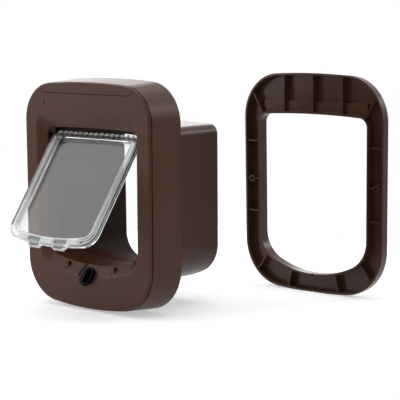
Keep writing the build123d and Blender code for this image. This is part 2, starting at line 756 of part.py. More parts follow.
# Sprung contact strips at both ends of the tray and between the cells
with BuildPart() as battery_contacts:
    for y in cell_rows:
        for x in (-tray_in_x + CONTACT_T, 0, tray_in_x - CONTACT_T):
            with Locations((x, y, tray_floor_z)):
                Box(CONTACT_T, CONTACT_W, CONTACT_H, align=to_back)
battery_contacts.part.label = "battery_contacts"
export_step(battery_contacts.part, "parts/battery_contacts.step")

# Circuit board on the tray's posts
with BuildPart() as circuit_board:
    with Locations((0, board_y, BOARD_Z)):
        Box(2 * BOARD_HALF, BOARD_W, BOARD_T, align=to_back)
circuit_board.part.label = "circuit_board"
export_step(circuit_board.part, "parts/circuit_board.step")

# Larger components on the board
with BuildPart() as board_parts:
    with Locations((CHIP_X, board_y, board_top)):
        Box(CHIP_W, CHIP_D, CHIP_H, align=to_back)
    with Locations((RELAY_X, board_y, board_top)):
        Box(RELAY_W, RELAY_W, RELAY_H, align=to_back)
board_parts.part.label = "board_parts"
export_step(board_parts.part, "parts/board_parts.step")

# Learn switch on its shelf, open for the button
with BuildPart() as learn_switch:
    with Locations((switch_x, tray_mid_y, tray_floor_z)):
        Box(SWITCH_W, SWITCH_W, SWITCH_H, align=to_back)
    with Locations((switch_x, tray_mid_y, tray_floor_z + SWITCH_FLOOR)):
        Box(BUTTON_W + 2 * SNUG, BUTTON_W + 2 * SNUG, SWITCH_H, align=to_back, mode=Mode.SUBTRACT)
learn_switch.part.label = "learn_switch"
export_step(learn_switch.part, "parts/learn_switch.step")

# Push button of the learn switch
with BuildPart() as learn_button:
    with Locations((switch_x, tray_mid_y, tray_floor_z + SWITCH_FLOOR + BUTTON_TRAVEL + BUTTON_SPARE)):
        Box(BUTTON_W, BUTTON_W, BUTTON_L, align=to_back)
learn_button.part.label = "learn_button"
export_step(learn_button.part, "parts/learn_button.step")

# Slim window of the status light in the front face
with BuildPart() as led_window:
    with Locations((LED_X, face_y - LED_PROUD, LED_Z)):
        Box(LED_W, LED_L, LED_H, align=backward)
led_window.part.label = "led_window"
export_step(led_window.part, "parts/led_window.step")

# Channel between the outer frame's walls, which the ribs and bosses stand in
pocket_depth = OUTER_DEPTH - OUTER_WALL
open_half = TUNNEL_HALF + TUNNEL_CLEAR
with BuildPart() as outer_channel:
    extrude(outer_outline(OUTER_Y, OUTER_WALL), amount=pocket_depth, taper=OUTER_DRAFT, dir=(0, 1, 0))
    extrude(opening_outline(OUTER_Y, OUTER_WALL), amount=OUTER_DEPTH, dir=(0, 1, 0), mode=Mode.SUBTRACT)

# Ribs across the channel, each from a point by the opening to one by the outer wall
side_in = open_half - CORNER_IN_X
rib_lines = [
    ((0, OPEN_TOP - CORNER_IN_Z), (0, FRAME_TOP)),
    ((TOP_RIB_PITCH, OPEN_TOP - CORNER_IN_Z), (TOP_RIB_PITCH, FRAME_TOP)),
    ((side_in, OPEN_TOP - CORNER_IN_Z), (OUTER_HALF, FRAME_TOP - CORNER_OUT)),
    ((side_in, SIDE_RIB_HIGH), (OUTER_HALF, SIDE_RIB_HIGH)),
    ((side_in, 0), (OUTER_HALF, 0)),
    ((side_in, SIDE_RIB_LOW), (OUTER_HALF, SIDE_RIB_LOW)),
    (
        (open_half - LOW_CORNER_IN_X, OPEN_LOW + LOW_CORNER_IN_Z),
        (OUTER_HALF - LOW_CORNER_OUT_X, FRAME_LOW + LOW_CORNER_OUT_Z),
    ),
    ((LOW_RIB_IN, OPEN_LOW + CORNER_IN_Z), (LOW_RIB_OUT, FRAME_LOW)),
]
rib_front = OUTER_Y + RIB_DROP
with BuildPart() as outer_ribs:
    for (x0, z0), (x1, z1) in rib_lines:
        for side in (-1, 1):
            angle = math.degrees(math.atan2(z1 - z0, side * (x1 - x0)))
            middle = (OUTER_X + side * (x0 + x1) / 2, rib_front, (z0 + z1) / 2)
            with Locations(Location(middle, (0, -angle, 0))):
                Box(
                    math.hypot(x1 - x0, z1 - z0),
                    OUTER_DEPTH,
                    RIB_T,
                    align=backward,
                )
    for side in (-1, 1):
        with Locations((OUTER_X + side * FIX_X, OUTER_Y, 0)):
            Cylinder(OUTER_BOSS_R, OUTER_DEPTH, rotation=(-90, 0, 0), align=to_back)
    with Locations((OUTER_X, OUTER_Y + SHELF_BACK, OPEN_TOP)):
        Box(
            2 * (open_half - SHELF_INSET),
            OUTER_DEPTH,
            2 * SHELF_H,
            align=backward,
        )
    add(outer_channel.part, mode=Mode.INTERSECT)

# Outer frame: drafted outer wall, exterior web, inner wall round the opening, ribs and screw bosses
with BuildPart() as outer_frame:
    extrude(outer_outline(OUTER_Y, 0), amount=OUTER_DEPTH, taper=OUTER_DRAFT, dir=(0, 1, 0))
    chamfer(outer_frame.faces().sort_by(Axis.Y)[-1].edges(), OUTER_EDGE)
    add(outer_channel.part, mode=Mode.SUBTRACT)
    add(outer_ribs.part)
    extrude(opening_outline(OUTER_Y, 0), amount=OUTER_DEPTH, dir=(0, 1, 0), mode=Mode.SUBTRACT)
    for side in (-1, 1):
        with Locations((OUTER_X + side * FIX_X, OUTER_Y, 0)):
            Cylinder(FIX_CLEAR_R, 4 * OUTER_DEPTH, rotation=(90, 0, 0), mode=Mode.SUBTRACT)
    for z in (OPEN_LOW, FRAME_LOW):
        with Locations((OUTER_X, OUTER_Y, z)):
            Box(NOTCH_W, NOTCH_D, NOTCH_H, mode=Mode.SUBTRACT)
    split(bisect_by=stand)
outer_frame.part.label = "outer_frame"
export_step(outer_frame.part, "parts/outer_frame.step")
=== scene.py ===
# %% [markdown]
# # A cat flap in brown plastic with a clear swinging door
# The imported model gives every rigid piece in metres: the room-side frame with its
# dished recess, the tunnel behind it, the clear flap swung towards us, the lock dial,
# and the ribbed outer frame that stands beside them. This lesson gives those pieces
# their finishes, adds what is too fine for the solids, and lights them as a product
# photograph on white.

# %% Load the model and keep its box
import json
import math

import bpy
import numpy as np
from mathutils import Matrix, Vector


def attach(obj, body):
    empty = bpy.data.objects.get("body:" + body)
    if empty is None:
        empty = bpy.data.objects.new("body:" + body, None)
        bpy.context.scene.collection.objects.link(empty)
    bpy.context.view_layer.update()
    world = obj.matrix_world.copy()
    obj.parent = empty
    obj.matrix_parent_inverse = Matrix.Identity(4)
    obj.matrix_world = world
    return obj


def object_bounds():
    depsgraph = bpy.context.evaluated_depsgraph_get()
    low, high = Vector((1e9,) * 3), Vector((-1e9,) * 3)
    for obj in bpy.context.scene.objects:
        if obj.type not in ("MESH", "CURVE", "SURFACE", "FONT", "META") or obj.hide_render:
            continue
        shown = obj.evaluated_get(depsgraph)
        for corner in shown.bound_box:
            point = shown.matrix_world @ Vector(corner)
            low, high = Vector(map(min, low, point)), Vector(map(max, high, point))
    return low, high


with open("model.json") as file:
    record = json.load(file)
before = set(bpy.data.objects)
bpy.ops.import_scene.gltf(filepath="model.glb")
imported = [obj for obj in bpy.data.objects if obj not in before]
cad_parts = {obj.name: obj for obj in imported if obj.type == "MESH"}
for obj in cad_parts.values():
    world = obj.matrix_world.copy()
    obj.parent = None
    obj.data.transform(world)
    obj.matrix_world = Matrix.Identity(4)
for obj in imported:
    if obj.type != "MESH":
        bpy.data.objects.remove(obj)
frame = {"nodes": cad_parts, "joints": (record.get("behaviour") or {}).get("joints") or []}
nodes = frame["nodes"]
cad_box = [list(corner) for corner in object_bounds()]
print("nodes", len(nodes), "box", cad_box)

scene = bpy.context.scene
scene.view_settings.view_transform = "Standard"

# %% [markdown]
# ## The camera
# The photograph was taken with a long lens, a little above the flap, from the right of
# its front face. The angles below were solved from the frame's outline. The camera is
# written as three directions (right, up, back) and a place, so nothing needs aiming.

# %% Camera
YAW, RISE, ROLL = math.radians(43.0), math.radians(6.885), math.radians(0.548)
DISTANCE, ASIDE, ABOVE = 1.9, 0.0931, -0.0088
PIXELS_PER_METRE, IMAGE_PIXELS = 902.0, 400.0
SENSOR_MM, FAR_CLIP = 36.0, 50.0

back = Vector((math.sin(YAW) * math.cos(RISE), -math.cos(YAW) * math.cos(RISE), math.sin(RISE)))
right = Vector((math.cos(YAW), math.sin(YAW), 0.0))
up = back.cross(right)
place = back * DISTANCE + right * ASIDE + up * ABOVE
cam_right = right * math.cos(ROLL) - up * math.sin(ROLL)
cam_up = right * math.sin(ROLL) + up * math.cos(ROLL)

lens = bpy.data.cameras.new("product_camera")
lens.sensor_width = SENSOR_MM
lens.lens = SENSOR_MM * PIXELS_PER_METRE * DISTANCE / IMAGE_PIXELS
lens.clip_end = FAR_CLIP
camera = bpy.data.objects.new("product_camera", lens)
turn = Matrix((cam_right, cam_up, back)).transposed()
camera.matrix_world = Matrix.Translation(place) @ turn.to_4x4()
scene.collection.objects.link(camera)
scene.camera = camera
print("lens mm", round(lens.lens, 1))

# %% [markdown]
# ## Colours and nodes
# Colours are written as the hex values a paint chart or an image editor shows. Blender
# works with linear light, so one function converts them. One more small function adds a
# shader node with its settings and links.

# %% Helpers for materials
def linear(hex_colour):
    """sRGB hex to linear: c/12.92 below 0.04045, else ((c + 0.055) / 1.055) to the power 2.4."""
    srgb = np.array([int(hex_colour[i : i + 2], 16) for i in (1, 3, 5)]) / 255.0
    low, high = srgb / 12.92, ((srgb + 0.055) / 1.055) ** 2.4
    return (*np.where(srgb <= 0.04045, low, high), 1.0)


def node(tree, kind, settings=None, values=None, links=None):
    """Adds one node: settings are its properties, values its sockets, links where sockets come from."""
    made = tree.nodes.new(kind)
    for name, value in (settings or {}).items():
        setattr(made, name, value)
    for name, value in (values or {}).items():
        made.inputs[name].default_value = value
    for name, source in (links or {}).items():
        tree.links.new(source, made.inputs[name])
    return made


def blank(name):
    """A new material with an empty node tree and its output node."""
    material = bpy.data.materials.new(name)
    material.use_nodes = True
    material.node_tree.nodes.clear()
    output = node(material.node_tree, "ShaderNodeOutputMaterial")
    return material, material.node_tree, output


def dress(material, *names):
    """Gives CAD nodes this material in their only slot."""
    for name in names:
        nodes[name].data.materials.clear()
        nodes[name].data.materials.append(material)
    print(material.name, "on", ", ".join(names))


print("mid grey in linear light", round(float(linear("#808080")[0]), 3))

# %% [markdown]
# ## Moulded brown plastic
# The frames are ABS, injection moulded in a spark-eroded tool, which leaves a fine matt
# grain. The eye sees an even dark brown with a soft sheen and no sharp reflections. A plain
# colour would look like paint, so two noises are used: one as fine as the grain bumps the
# surface and shifts its roughness, and a wide one leaves faint marks of the melt's flow.
# The grain is drawn coarser than the real 0.1 mm, because that wouldn't show in the picture.

# %% Matt brown ABS
ABS_IOR, GRAIN_STRENGTH, ROUGHNESS_SPREAD = 1.54, 0.5, 0.04
FLOW_MARKS_PER_METRE = 18.0


def moulded_plastic(name, colour, roughness, grain_mm, grain_height_mm, mottle, gloss=0.25):
    """Moulded plastic: noise of the grain's size bumps the surface and shifts roughness a little. Mottle is how much
    the flow marks lighten or darken the colour. Gloss is the strength of the mirror: 0.5 is a polished face of that
    IOR, and grain and wear take some of it off."""
    material, tree, output = blank(name)
    coords = node(tree, "ShaderNodeTexCoord")
    grain = node(tree, "ShaderNodeTexNoise", values={"Scale": 1000.0 / grain_mm, "Detail": 2.0},
                 links={"Vector": coords.outputs["Object"]})
    bump = node(tree, "ShaderNodeBump", values={"Strength": GRAIN_STRENGTH, "Distance": grain_height_mm / 1000.0},
                links={"Height": grain.outputs["Fac"]})
    flow = node(tree, "ShaderNodeTexNoise", values={"Scale": FLOW_MARKS_PER_METRE, "Detail": 3.0},
                links={"Vector": coords.outputs["Object"]})
    tone = node(tree, "ShaderNodeMapRange", values={"To Min": 1.0 - mottle, "To Max": 1.0 + mottle},
                links={"Value": flow.outputs["Fac"]})
    tint = node(tree, "ShaderNodeMix", settings={"data_type": "RGBA", "blend_type": "MULTIPLY"},
                values={"Factor": 1.0, "A": linear(colour)}, links={"B": tone.outputs["Result"]})
    sheen = node(tree, "ShaderNodeMapRange",
                 values={"To Min": roughness - ROUGHNESS_SPREAD, "To Max": roughness + ROUGHNESS_SPREAD},
                 links={"Value": grain.outputs["Fac"]})
    shader = node(tree, "ShaderNodeBsdfPrincipled", values={"IOR": ABS_IOR, "Specular IOR Level": gloss},
                  links={"Base Color": tint.outputs["Result"], "Roughness": sheen.outputs["Result"],
                         "Normal": bump.outputs["Normal"]})
    tree.links.new(shader.outputs["BSDF"], output.inputs["Surface"])
    return material


frame_abs = moulded_plastic("matt_brown_abs", "#482715", 0.40, 0.9, 0.04, 0.05)
dress(frame_abs, "inner_frame", "battery_cover", "latch")

# %% Polished brown of the outer frame
# A smoother tool: deeper brown in the rib bays, with clearer reflections on the walls
polished_abs = moulded_plastic("polished_brown_abs", "#4A2D20", 0.26, 1.6, 0.015, 0.05, gloss=0.3)
dress(polished_abs, "outer_frame")

# %% Browns of the passage
# The tunnel's satin walls show a band of light along the rounded corners
tunnel_abs = moulded_plastic("satin_brown_abs", "#422518", 0.35, 1.6, 0.02, 0.05)
dress(tunnel_abs, "tunnel")
# The liner is dull, and its darker brown is painted shade, so the passage stays dark
shaded_liner_abs = moulded_plastic("passage_shade_brown_abs", "#2A170E", 0.50, 1.6, 0.02, 0.05, gloss=0.1)
dress(shaded_liner_abs, "tunnel_liner")
# Paws wear the sill dull, so it mirrors least
sill_abs = moulded_plastic("worn_brown_abs", "#4A2B1E", 0.60, 1.6, 0.02, 0.05, gloss=0.075)
dress(sill_abs, "sill")

# %% Black and pale mouldings, smoked window, red button
# The dial and its like are a deep black with little mirror
black_abs = moulded_plastic("gloss_black_abs", "#040404", 0.25, 2.0, 0.01, 0.03, gloss=0.06)
dress(black_abs, "lock_dial", "hinge_bushes", "solenoid", "battery_tray", "board_parts", "learn_switch")
# Unpainted nylon is milky and soft
natural_nylon = moulded_plastic("natural_nylon", "#D6D2C4", 0.45, 1.5, 0.02, 0.03)
dress(natural_nylon, "lock_clip")
# The light's window is smooth and dark, and hardly shows when it is off
smoked_acrylic = moulded_plastic("smoked_acrylic", "#2A1C16", 0.12, 2.0, 0.005, 0.02)
dress(smoked_acrylic, "led_window")
# A bright red button under the cover, so that it is found
red_abs = moulded_plastic("red_abs", "#B3201C", 0.3, 2.0, 0.01, 0.03)
dress(red_abs, "learn_button")
# Solder mask is a thin green lacquer, mottled by the copper under it
solder_mask = moulded_plastic("green_solder_mask", "#1E5A32", 0.35, 3.0, 0.01, 0.08)
dress(solder_mask, "circuit_board")

# %% [markdown]
# ## Metals
# Pins and screws are bright drawn steel, the magnets are nickel plated, the aerial is a
# band of enamelled copper wire. Drawing and winding leave fine lines along the piece, which
# smear the reflections, so a noise is stretched along X and shifts the roughness. A metal
# keeps the default IOR. The cells of the battery have a painted can, which is a plastic film.

# %% Steel, nickel and copper
LINE_STRETCH, LINE_SPREAD = 0.05, 0.2


def drawn_metal(name, colour, roughness, line_mm):
    """Metal with fine lines: noise stretched along X shifts the roughness."""
    material, tree, output = blank(name)
    coords = node(tree, "ShaderNodeTexCoord")
    stretch = node(tree, "ShaderNodeMapping", values={"Scale": (LINE_STRETCH, 1.0, 1.0)},
                   links={"Vector": coords.outputs["Object"]})
    lines = node(tree, "ShaderNodeTexNoise", values={"Scale": 1000.0 / line_mm, "Detail": 2.0},
                 links={"Vector": stretch.outputs["Vector"]})
    sheen = node(tree, "ShaderNodeMapRange",
                 values={"To Min": roughness * (1.0 - LINE_SPREAD), "To Max": roughness * (1.0 + LINE_SPREAD)},
                 links={"Value": lines.outputs["Fac"]})
    shader = node(tree, "ShaderNodeBsdfPrincipled",
                  values={"Base Color": linear(colour), "Metallic": 1.0},
                  links={"Roughness": sheen.outputs["Result"]})
    tree.links.new(shader.outputs["BSDF"], output.inputs["Surface"])
    return material


steel = drawn_metal("drawn_steel", "#C4C4C6", 0.28, 0.8)
dress(steel, "hinge_pins", "case_screws", "plunger", "battery_contacts")
nickel = drawn_metal("nickel_plate", "#3E4042", 0.35, 1.2)
dress(nickel, "flap_magnets")
copper = drawn_metal("enamelled_copper", "#B0683C", 0.35, 0.4)
dress(copper, "reader_coil")
cell_can = moulded_plastic("painted_cell_can", "#2B2B2E", 0.3, 2.0, 0.01, 0.03)
dress(cell_can, "batteries")

# %% [markdown]
# ## Clear polycarbonate
# The flap is one clear moulding with an IOR of 1.585. Moulding flow and handling leave a
# slight haze, which veils what is seen through the panel. The raised rim is thicker, so it
# scatters a little more. Its inner and outer edges get pale lines, painted highlights for the
# light that the thick rim pipes and bends, and its lower middle is drawn paler. Haze is light
# that is scattered instead of passed on, so it is written as a share taken off the transmission,
# and so are the painted lines. Painted pieces could show the lines, but one distance does it on
# the moulding itself: how far a point lies inside the flap's outline, worked out as for a
# rectangle with rounded lower corners.

# %% The flap's own directions
FLAP_OPEN = math.radians(34.5)
hinge = next(joint for joint in frame["joints"] if joint["name"] == "flap_swing")
hinge_at = np.array(hinge["pos_m"])
flap_up = np.array((0.0, math.sin(FLAP_OPEN), math.cos(FLAP_OPEN)))
flap_out = np.array((0.0, -math.cos(FLAP_OPEN), math.sin(FLAP_OPEN)))
print("hinge", hinge_at, "up the flap", flap_up.round(3))

# %% Distance inside the flap's outline
FLAP_HALF, FLAP_DROP, FLAP_CORNER, FLAP_BOW, FLAP_TAPER = 0.067, 0.1315, 0.017, 0.006, 0.0005


def distance_to_edge(tree, coords):
    """Metres from the outline, negative inside, then metres across and down.

    The first is the length of the part of q above zero, plus the larger of q's two parts where both are below
    zero, less the corner radius. q is the place across and down the flap, measured from the corner's centre. The
    bottom edge is bowed, so down grows with the square of across, and the sides close in a little towards it, so
    across grows with down."""
    from_hinge = node(tree, "ShaderNodeVectorMath", settings={"operation": "SUBTRACT"}, values={1: hinge_at},
                      links={0: coords.outputs["Object"]})
    down = node(tree, "ShaderNodeVectorMath", settings={"operation": "DOT_PRODUCT"}, values={1: -flap_up},
                links={0: from_hinge.outputs["Vector"]})
    spot = node(tree, "ShaderNodeSeparateXYZ", links={"Vector": coords.outputs["Object"]})
    across = node(tree, "ShaderNodeMath", settings={"operation": "ABSOLUTE"}, links={0: spot.outputs["X"]})
    square = node(tree, "ShaderNodeMath", settings={"operation": "POWER"}, values={1: 2.0},
                  links={0: across.outputs["Value"]})
    bowed = node(tree, "ShaderNodeMath", settings={"operation": "MULTIPLY_ADD"}, values={1: FLAP_BOW / FLAP_HALF**2},
                 links={0: square.outputs["Value"], 2: down.outputs["Value"]})
    tapered = node(tree, "ShaderNodeMath", settings={"operation": "MULTIPLY_ADD"}, values={1: FLAP_TAPER / FLAP_DROP},
                   links={0: down.outputs["Value"], 2: across.outputs["Value"]})
    both = node(tree, "ShaderNodeCombineXYZ", links={"X": tapered.outputs["Value"], "Y": bowed.outputs["Value"]})
    q = node(tree, "ShaderNodeVectorMath", settings={"operation": "SUBTRACT"},
             values={1: (FLAP_HALF - FLAP_CORNER, FLAP_DROP - FLAP_CORNER, 0.0)}, links={0: both.outputs["Vector"]})
    beyond = node(tree, "ShaderNodeVectorMath", settings={"operation": "MAXIMUM"}, values={1: (0.0, 0.0, 0.0)},
                  links={0: q.outputs["Vector"]})
    length = node(tree, "ShaderNodeVectorMath", settings={"operation": "LENGTH"}, links={0: beyond.outputs["Vector"]})
    parts = node(tree, "ShaderNodeSeparateXYZ", links={"Vector": q.outputs["Vector"]})
    larger = node(tree, "ShaderNodeMath", settings={"operation": "MAXIMUM"},
                  links={0: parts.outputs["X"], 1: parts.outputs["Y"]})
    within = node(tree, "ShaderNodeMath", settings={"operation": "MINIMUM"}, values={1: 0.0},
                  links={0: larger.outputs["Value"]})
    total = node(tree, "ShaderNodeMath", settings={"operation": "ADD"},
                 links={0: length.outputs["Value"], 1: within.outputs["Value"]})
    edge = node(tree, "ShaderNodeMath", settings={"operation": "SUBTRACT"}, values={1: FLAP_CORNER},
                links={0: total.outputs["Value"]})
    return edge.outputs["Value"], across.outputs["Value"], down.outputs["Value"]


print("outline", round(2000.0 * FLAP_HALF), "mm wide,", round(1000.0 * FLAP_DROP, 1), "mm below the hinge")

# %% Haze of the panel and the rim
PANEL_HAZE_LOW, PANEL_HAZE_HIGH, FLOW_MM, FLOW_STRETCH = 0.015, 0.04, 14.0, 0.25
RIM_MIDDLE, RIM_HALF, RIM_HAZE = 0.0039, 0.0036, 0.02
clear_pc, tree, output = blank("clear_polycarbonate")
coords = node(tree, "ShaderNodeTexCoord")
# Melt flows down from the hinge strip, so the streaks are drawn out along the flap
drawn_out = node(tree, "ShaderNodeMapping", values={"Scale": (1.0, FLOW_STRETCH, FLOW_STRETCH)},
                 links={"Vector": coords.outputs["Object"]})
flow = node(tree, "ShaderNodeTexNoise", values={"Scale": 1000.0 / FLOW_MM, "Detail": 3.0},
            links={"Vector": drawn_out.outputs["Vector"]})
haze = node(tree, "ShaderNodeMapRange", values={"To Min": PANEL_HAZE_LOW, "To Max": PANEL_HAZE_HIGH},
            links={"Value": flow.outputs["Fac"]})
edge, across, down = distance_to_edge(tree, coords)
# The rim's top lies between the panel and the outer walls, which stay as clear as the panel
rim = node(tree, "ShaderNodeMath", settings={"operation": "COMPARE"}, values={1: -RIM_MIDDLE, 2: RIM_HALF},
           links={0: edge})
rim_haze = node(tree, "ShaderNodeMath", settings={"operation": "MULTIPLY_ADD"}, values={1: RIM_HAZE},
                links={0: rim.outputs["Value"], 2: haze.outputs["Result"]})
print("panel haze up to", PANEL_HAZE_HIGH, "and", RIM_HAZE, "more on the rim")

# %% Scuffed lower rim
# Along the bottom the rim's middle is drawn paler, except over the two magnets, which show through
LOW_RIM, LOW_HAZE, PALE_BOTTOM_HALF = 0.116, 0.75, 0.047
MAGNET_AT, MAGNET_HALF = 0.0205, 0.0105
lower = node(tree, "ShaderNodeMath", settings={"operation": "GREATER_THAN"}, values={1: LOW_RIM}, links={0: down})
window = node(tree, "ShaderNodeMath", settings={"operation": "COMPARE"}, values={1: MAGNET_AT, 2: MAGNET_HALF},
              links={0: across})
beside = node(tree, "ShaderNodeMath", settings={"operation": "SUBTRACT"}, values={0: 1.0},
              links={1: window.outputs["Value"]})
middle = node(tree, "ShaderNodeMath", settings={"operation": "LESS_THAN"}, values={1: PALE_BOTTOM_HALF}, links={0: across})
low_middle = node(tree, "ShaderNodeMath", settings={"operation": "MULTIPLY"},
                  links={0: lower.outputs["Value"], 1: middle.outputs["Value"]})
low_rim = node(tree, "ShaderNodeMath", settings={"operation": "MULTIPLY"},
               links={0: low_middle.outputs["Value"], 1: rim.outputs["Value"]})
pale_bottom = node(tree, "ShaderNodeMath", settings={"operation": "MULTIPLY"},
               links={0: low_rim.outputs["Value"], 1: beside.outputs["Value"]})
low_haze = node(tree, "ShaderNodeMath", settings={"operation": "MULTIPLY_ADD"}, values={1: LOW_HAZE},
                links={0: pale_bottom.outputs["Value"], 2: rim_haze.outputs["Value"]})
print("scuffed for", round(2000.0 * PALE_BOTTOM_HALF), "mm, clear over magnets at", round(1000.0 * MAGNET_AT, 1), "mm")

# %% Painted highlight lines, hinge strip with painted shade, and shader
INNER_LINE, INNER_HALF, OUTER_LINE, OUTER_HALF, LINE_HIGHLIGHT = -0.0070, 0.0016, -0.0006, 0.0005, 1.0
STRIP_LOW, STRIP_SHADE_TINT = 0.0022, "#9A9894"
POLISH_BEST, POLISH_WORST = 0.01, 0.04
PC_IOR, PC_CLEAR = 1.585, "#F4F6F6"


def highlight_line(tree, distance, centre, half_width, strength, under):
    """A painted highlight line: adds strength at this distance, falling evenly to nothing at its half width, to what is
    under it.
    """
    off = node(tree, "ShaderNodeMath", settings={"operation": "SUBTRACT"}, values={1: centre}, links={0: distance})
    size = node(tree, "ShaderNodeMath", settings={"operation": "ABSOLUTE"}, links={0: off.outputs["Value"]})
    fall = node(tree, "ShaderNodeMapRange",
                values={"From Min": 0.0, "From Max": half_width, "To Min": strength, "To Max": 0.0},
                links={"Value": size.outputs["Value"]})
    added = node(tree, "ShaderNodeMath", settings={"operation": "ADD"}, links={0: fall.outputs["Result"], 1: under})
    return added.outputs["Value"]


# The two pale lines along the rim's inner and outer edges are painted highlights for light the thick rim pipes and
# bends
highlighted = highlight_line(tree, edge, INNER_LINE, INNER_HALF, LINE_HIGHLIGHT, low_haze.outputs["Value"])
highlighted = highlight_line(tree, edge, OUTER_LINE, OUTER_HALF, LINE_HIGHLIGHT, highlighted)
passed = node(tree, "ShaderNodeMath", settings={"operation": "SUBTRACT"}, values={0: 1.0}, links={1: highlighted})
polish = node(tree, "ShaderNodeMapRange", values={"To Min": POLISH_BEST, "To Max": POLISH_WORST},
              links={"Value": flow.outputs["Fac"]})
# Its grey tint is painted shade: the ribbed strip along the hinge would turn light aside and show the dark recess
# above, so it passes less on
strip = node(tree, "ShaderNodeMath", settings={"operation": "LESS_THAN"}, values={1: STRIP_LOW}, links={0: down})
tint = node(tree, "ShaderNodeMix", settings={"data_type": "RGBA"},
            values={"A": linear(PC_CLEAR), "B": linear(STRIP_SHADE_TINT)}, links={"Factor": strip.outputs["Value"]})
glass = node(tree, "ShaderNodeBsdfPrincipled", values={"IOR": PC_IOR},
             links={"Base Color": tint.outputs["Result"], "Transmission Weight": passed.outputs["Value"],
                    "Roughness": polish.outputs["Result"]})
tree.links.new(glass.outputs["BSDF"], output.inputs["Surface"])
dress(clear_pc, "flap")

# %% [markdown]
# ## Teeth of the hinge strip
# Along its top the flap carries a row of small rounded teeth, which read as pale dots in
# front of the dark throat. They could be scaled spheres, but the moulded ones are squarish
# pads. A superellipsoid gives that: an ellipsoid whose sines and cosines are raised to a
# power below one. All the pads are worked out at once as one array and share one mesh.

# %% Rounded pads
TOOTH_COUNT, TOOTH_PITCH, TOOTH_SQUARENESS = 15, 0.0082, 0.6
TOOTH_HALF = np.array((0.0027, 0.0023, 0.0010))
TOOTH_UP, TOOTH_OUT = 0.0039, 0.0024


def powered(value, power):
    """Keeps the sign and raises the size to the power."""
    return np.sign(value) * np.abs(value) ** power


def pads(count, pitch, half, power, around=20, rings=9):
    """Unit pad: x, y, z = cos(v)cos(u), cos(v)sin(u), sin(v), each factor powered, on rings of v closed by two poles.

    Each pad is that, times its half sizes, moved by whole pitches along x so that the row is centred on zero."""
    u = np.linspace(0.0, 2.0 * np.pi, around, endpoint=False)
    v = np.linspace(-0.5 * np.pi, 0.5 * np.pi, rings + 2)[1:-1, None]
    ring = np.stack(np.broadcast_arrays(powered(np.cos(v), power) * powered(np.cos(u), power),
                                        powered(np.cos(v), power) * powered(np.sin(u), power),
                                        powered(np.sin(v), power)), axis=-1).reshape(-1, 3)
    unit = np.vstack((ring, (0.0, 0.0, -1.0), (0.0, 0.0, 1.0))) * half
    at = (np.arange(count) - (count - 1) / 2.0) * pitch
    points = unit[None] + np.stack((at, 0.0 * at, 0.0 * at), axis=-1)[:, None]
    i, j = np.meshgrid(np.arange(rings - 1), np.arange(around), indexing="ij")
    nxt = (j + 1) % around
    quads = np.stack((i * around + j, i * around + nxt, (i + 1) * around + nxt, (i + 1) * around + j), -1)
    low, high, last = rings * around, rings * around + 1, (rings - 1) * around
    k = np.arange(around)
    bottom = np.stack((np.full(around, low), (k + 1) % around, k), -1)
    top = np.stack((np.full(around, high), last + k, last + (k + 1) % around), -1)
    first = (np.arange(count) * len(unit))[:, None, None]
    faces = (quads.reshape(1, -1, 4) + first).reshape(-1, 4).tolist()
    faces += (np.vstack((bottom, top))[None] + first).reshape(-1, 3).tolist()
    return points.reshape(-1, 3), faces


flat, faces = pads(TOOTH_COUNT, TOOTH_PITCH, TOOTH_HALF, TOOTH_SQUARENESS)
placed = (hinge_at + flat[:, :1] * np.array((1.0, 0.0, 0.0)) + (flat[:, 1:2] + TOOTH_UP) * flap_up
          + (flat[:, 2:] + TOOTH_OUT) * flap_out)
teeth_mesh = bpy.data.meshes.new("hinge_teeth")
teeth_mesh.from_pydata(placed.tolist(), [], faces)
teeth_mesh.shade_smooth()
teeth = bpy.data.objects.new("hinge_teeth", teeth_mesh)
scene.collection.objects.link(teeth)
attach(teeth, "flap")
print("teeth", TOOTH_COUNT, "faces", len(faces))

# %% Pale teeth, a painted highlight
# A milky, part-diffuse finish makes the teeth glow softly so nothing is seen through them: a painted highlight for the
# glints they catch
FROST_MM, FROST_PASSED, FROST_ROUGH = 1.2, (0.6, 0.8), (0.25, 0.45)
teeth_highlight_pc, tree, output = blank("teeth_highlight_polycarbonate")
coords = node(tree, "ShaderNodeTexCoord")
frost = node(tree, "ShaderNodeTexNoise", values={"Scale": 1000.0 / FROST_MM, "Detail": 2.0},
             links={"Vector": coords.outputs["Object"]})
cloudy = node(tree, "ShaderNodeMapRange", values={"To Min": FROST_PASSED[0], "To Max": FROST_PASSED[1]},
              links={"Value": frost.outputs["Fac"]})
dull = node(tree, "ShaderNodeMapRange", values={"To Min": FROST_ROUGH[0], "To Max": FROST_ROUGH[1]},
            links={"Value": frost.outputs["Fac"]})
frosting = node(tree, "ShaderNodeBsdfPrincipled", values={"Base Color": linear(PC_CLEAR), "IOR": PC_IOR},
                links={"Transmission Weight": cloudy.outputs["Result"], "Roughness": dull.outputs["Result"]})
tree.links.new(frosting.outputs["BSDF"], output.inputs["Surface"])
teeth_mesh.materials.append(teeth_highlight_pc)
print(teeth_highlight_pc.name, "on hinge_teeth")

# %% [markdown]
# ## Studio
# The floor, the backdrop and the world look white to the camera, and to what mirrors or
# passes light, but they light the object only at a plain level. More light would turn them
# white too, but it would wash out the browns. The Light Path node tells the two apart, so one
# function gives its switch to all three. The floor keeps the soft shadows.

# %% Floor
def seen_directly(tree):
    """1 on camera, glossy and transmission rays, else 0: the largest of the three Light Path flags."""
    path = node(tree, "ShaderNodeLightPath")
    either = node(tree, "ShaderNodeMath", settings={"operation": "MAXIMUM"},
                  links={0: path.outputs["Is Camera Ray"], 1: path.outputs["Is Transmission Ray"]})
    any_ray = node(tree, "ShaderNodeMath", settings={"operation": "MAXIMUM"},
                   links={0: either.outputs["Value"], 1: path.outputs["Is Glossy Ray"]})
    return any_ray.outputs["Value"]


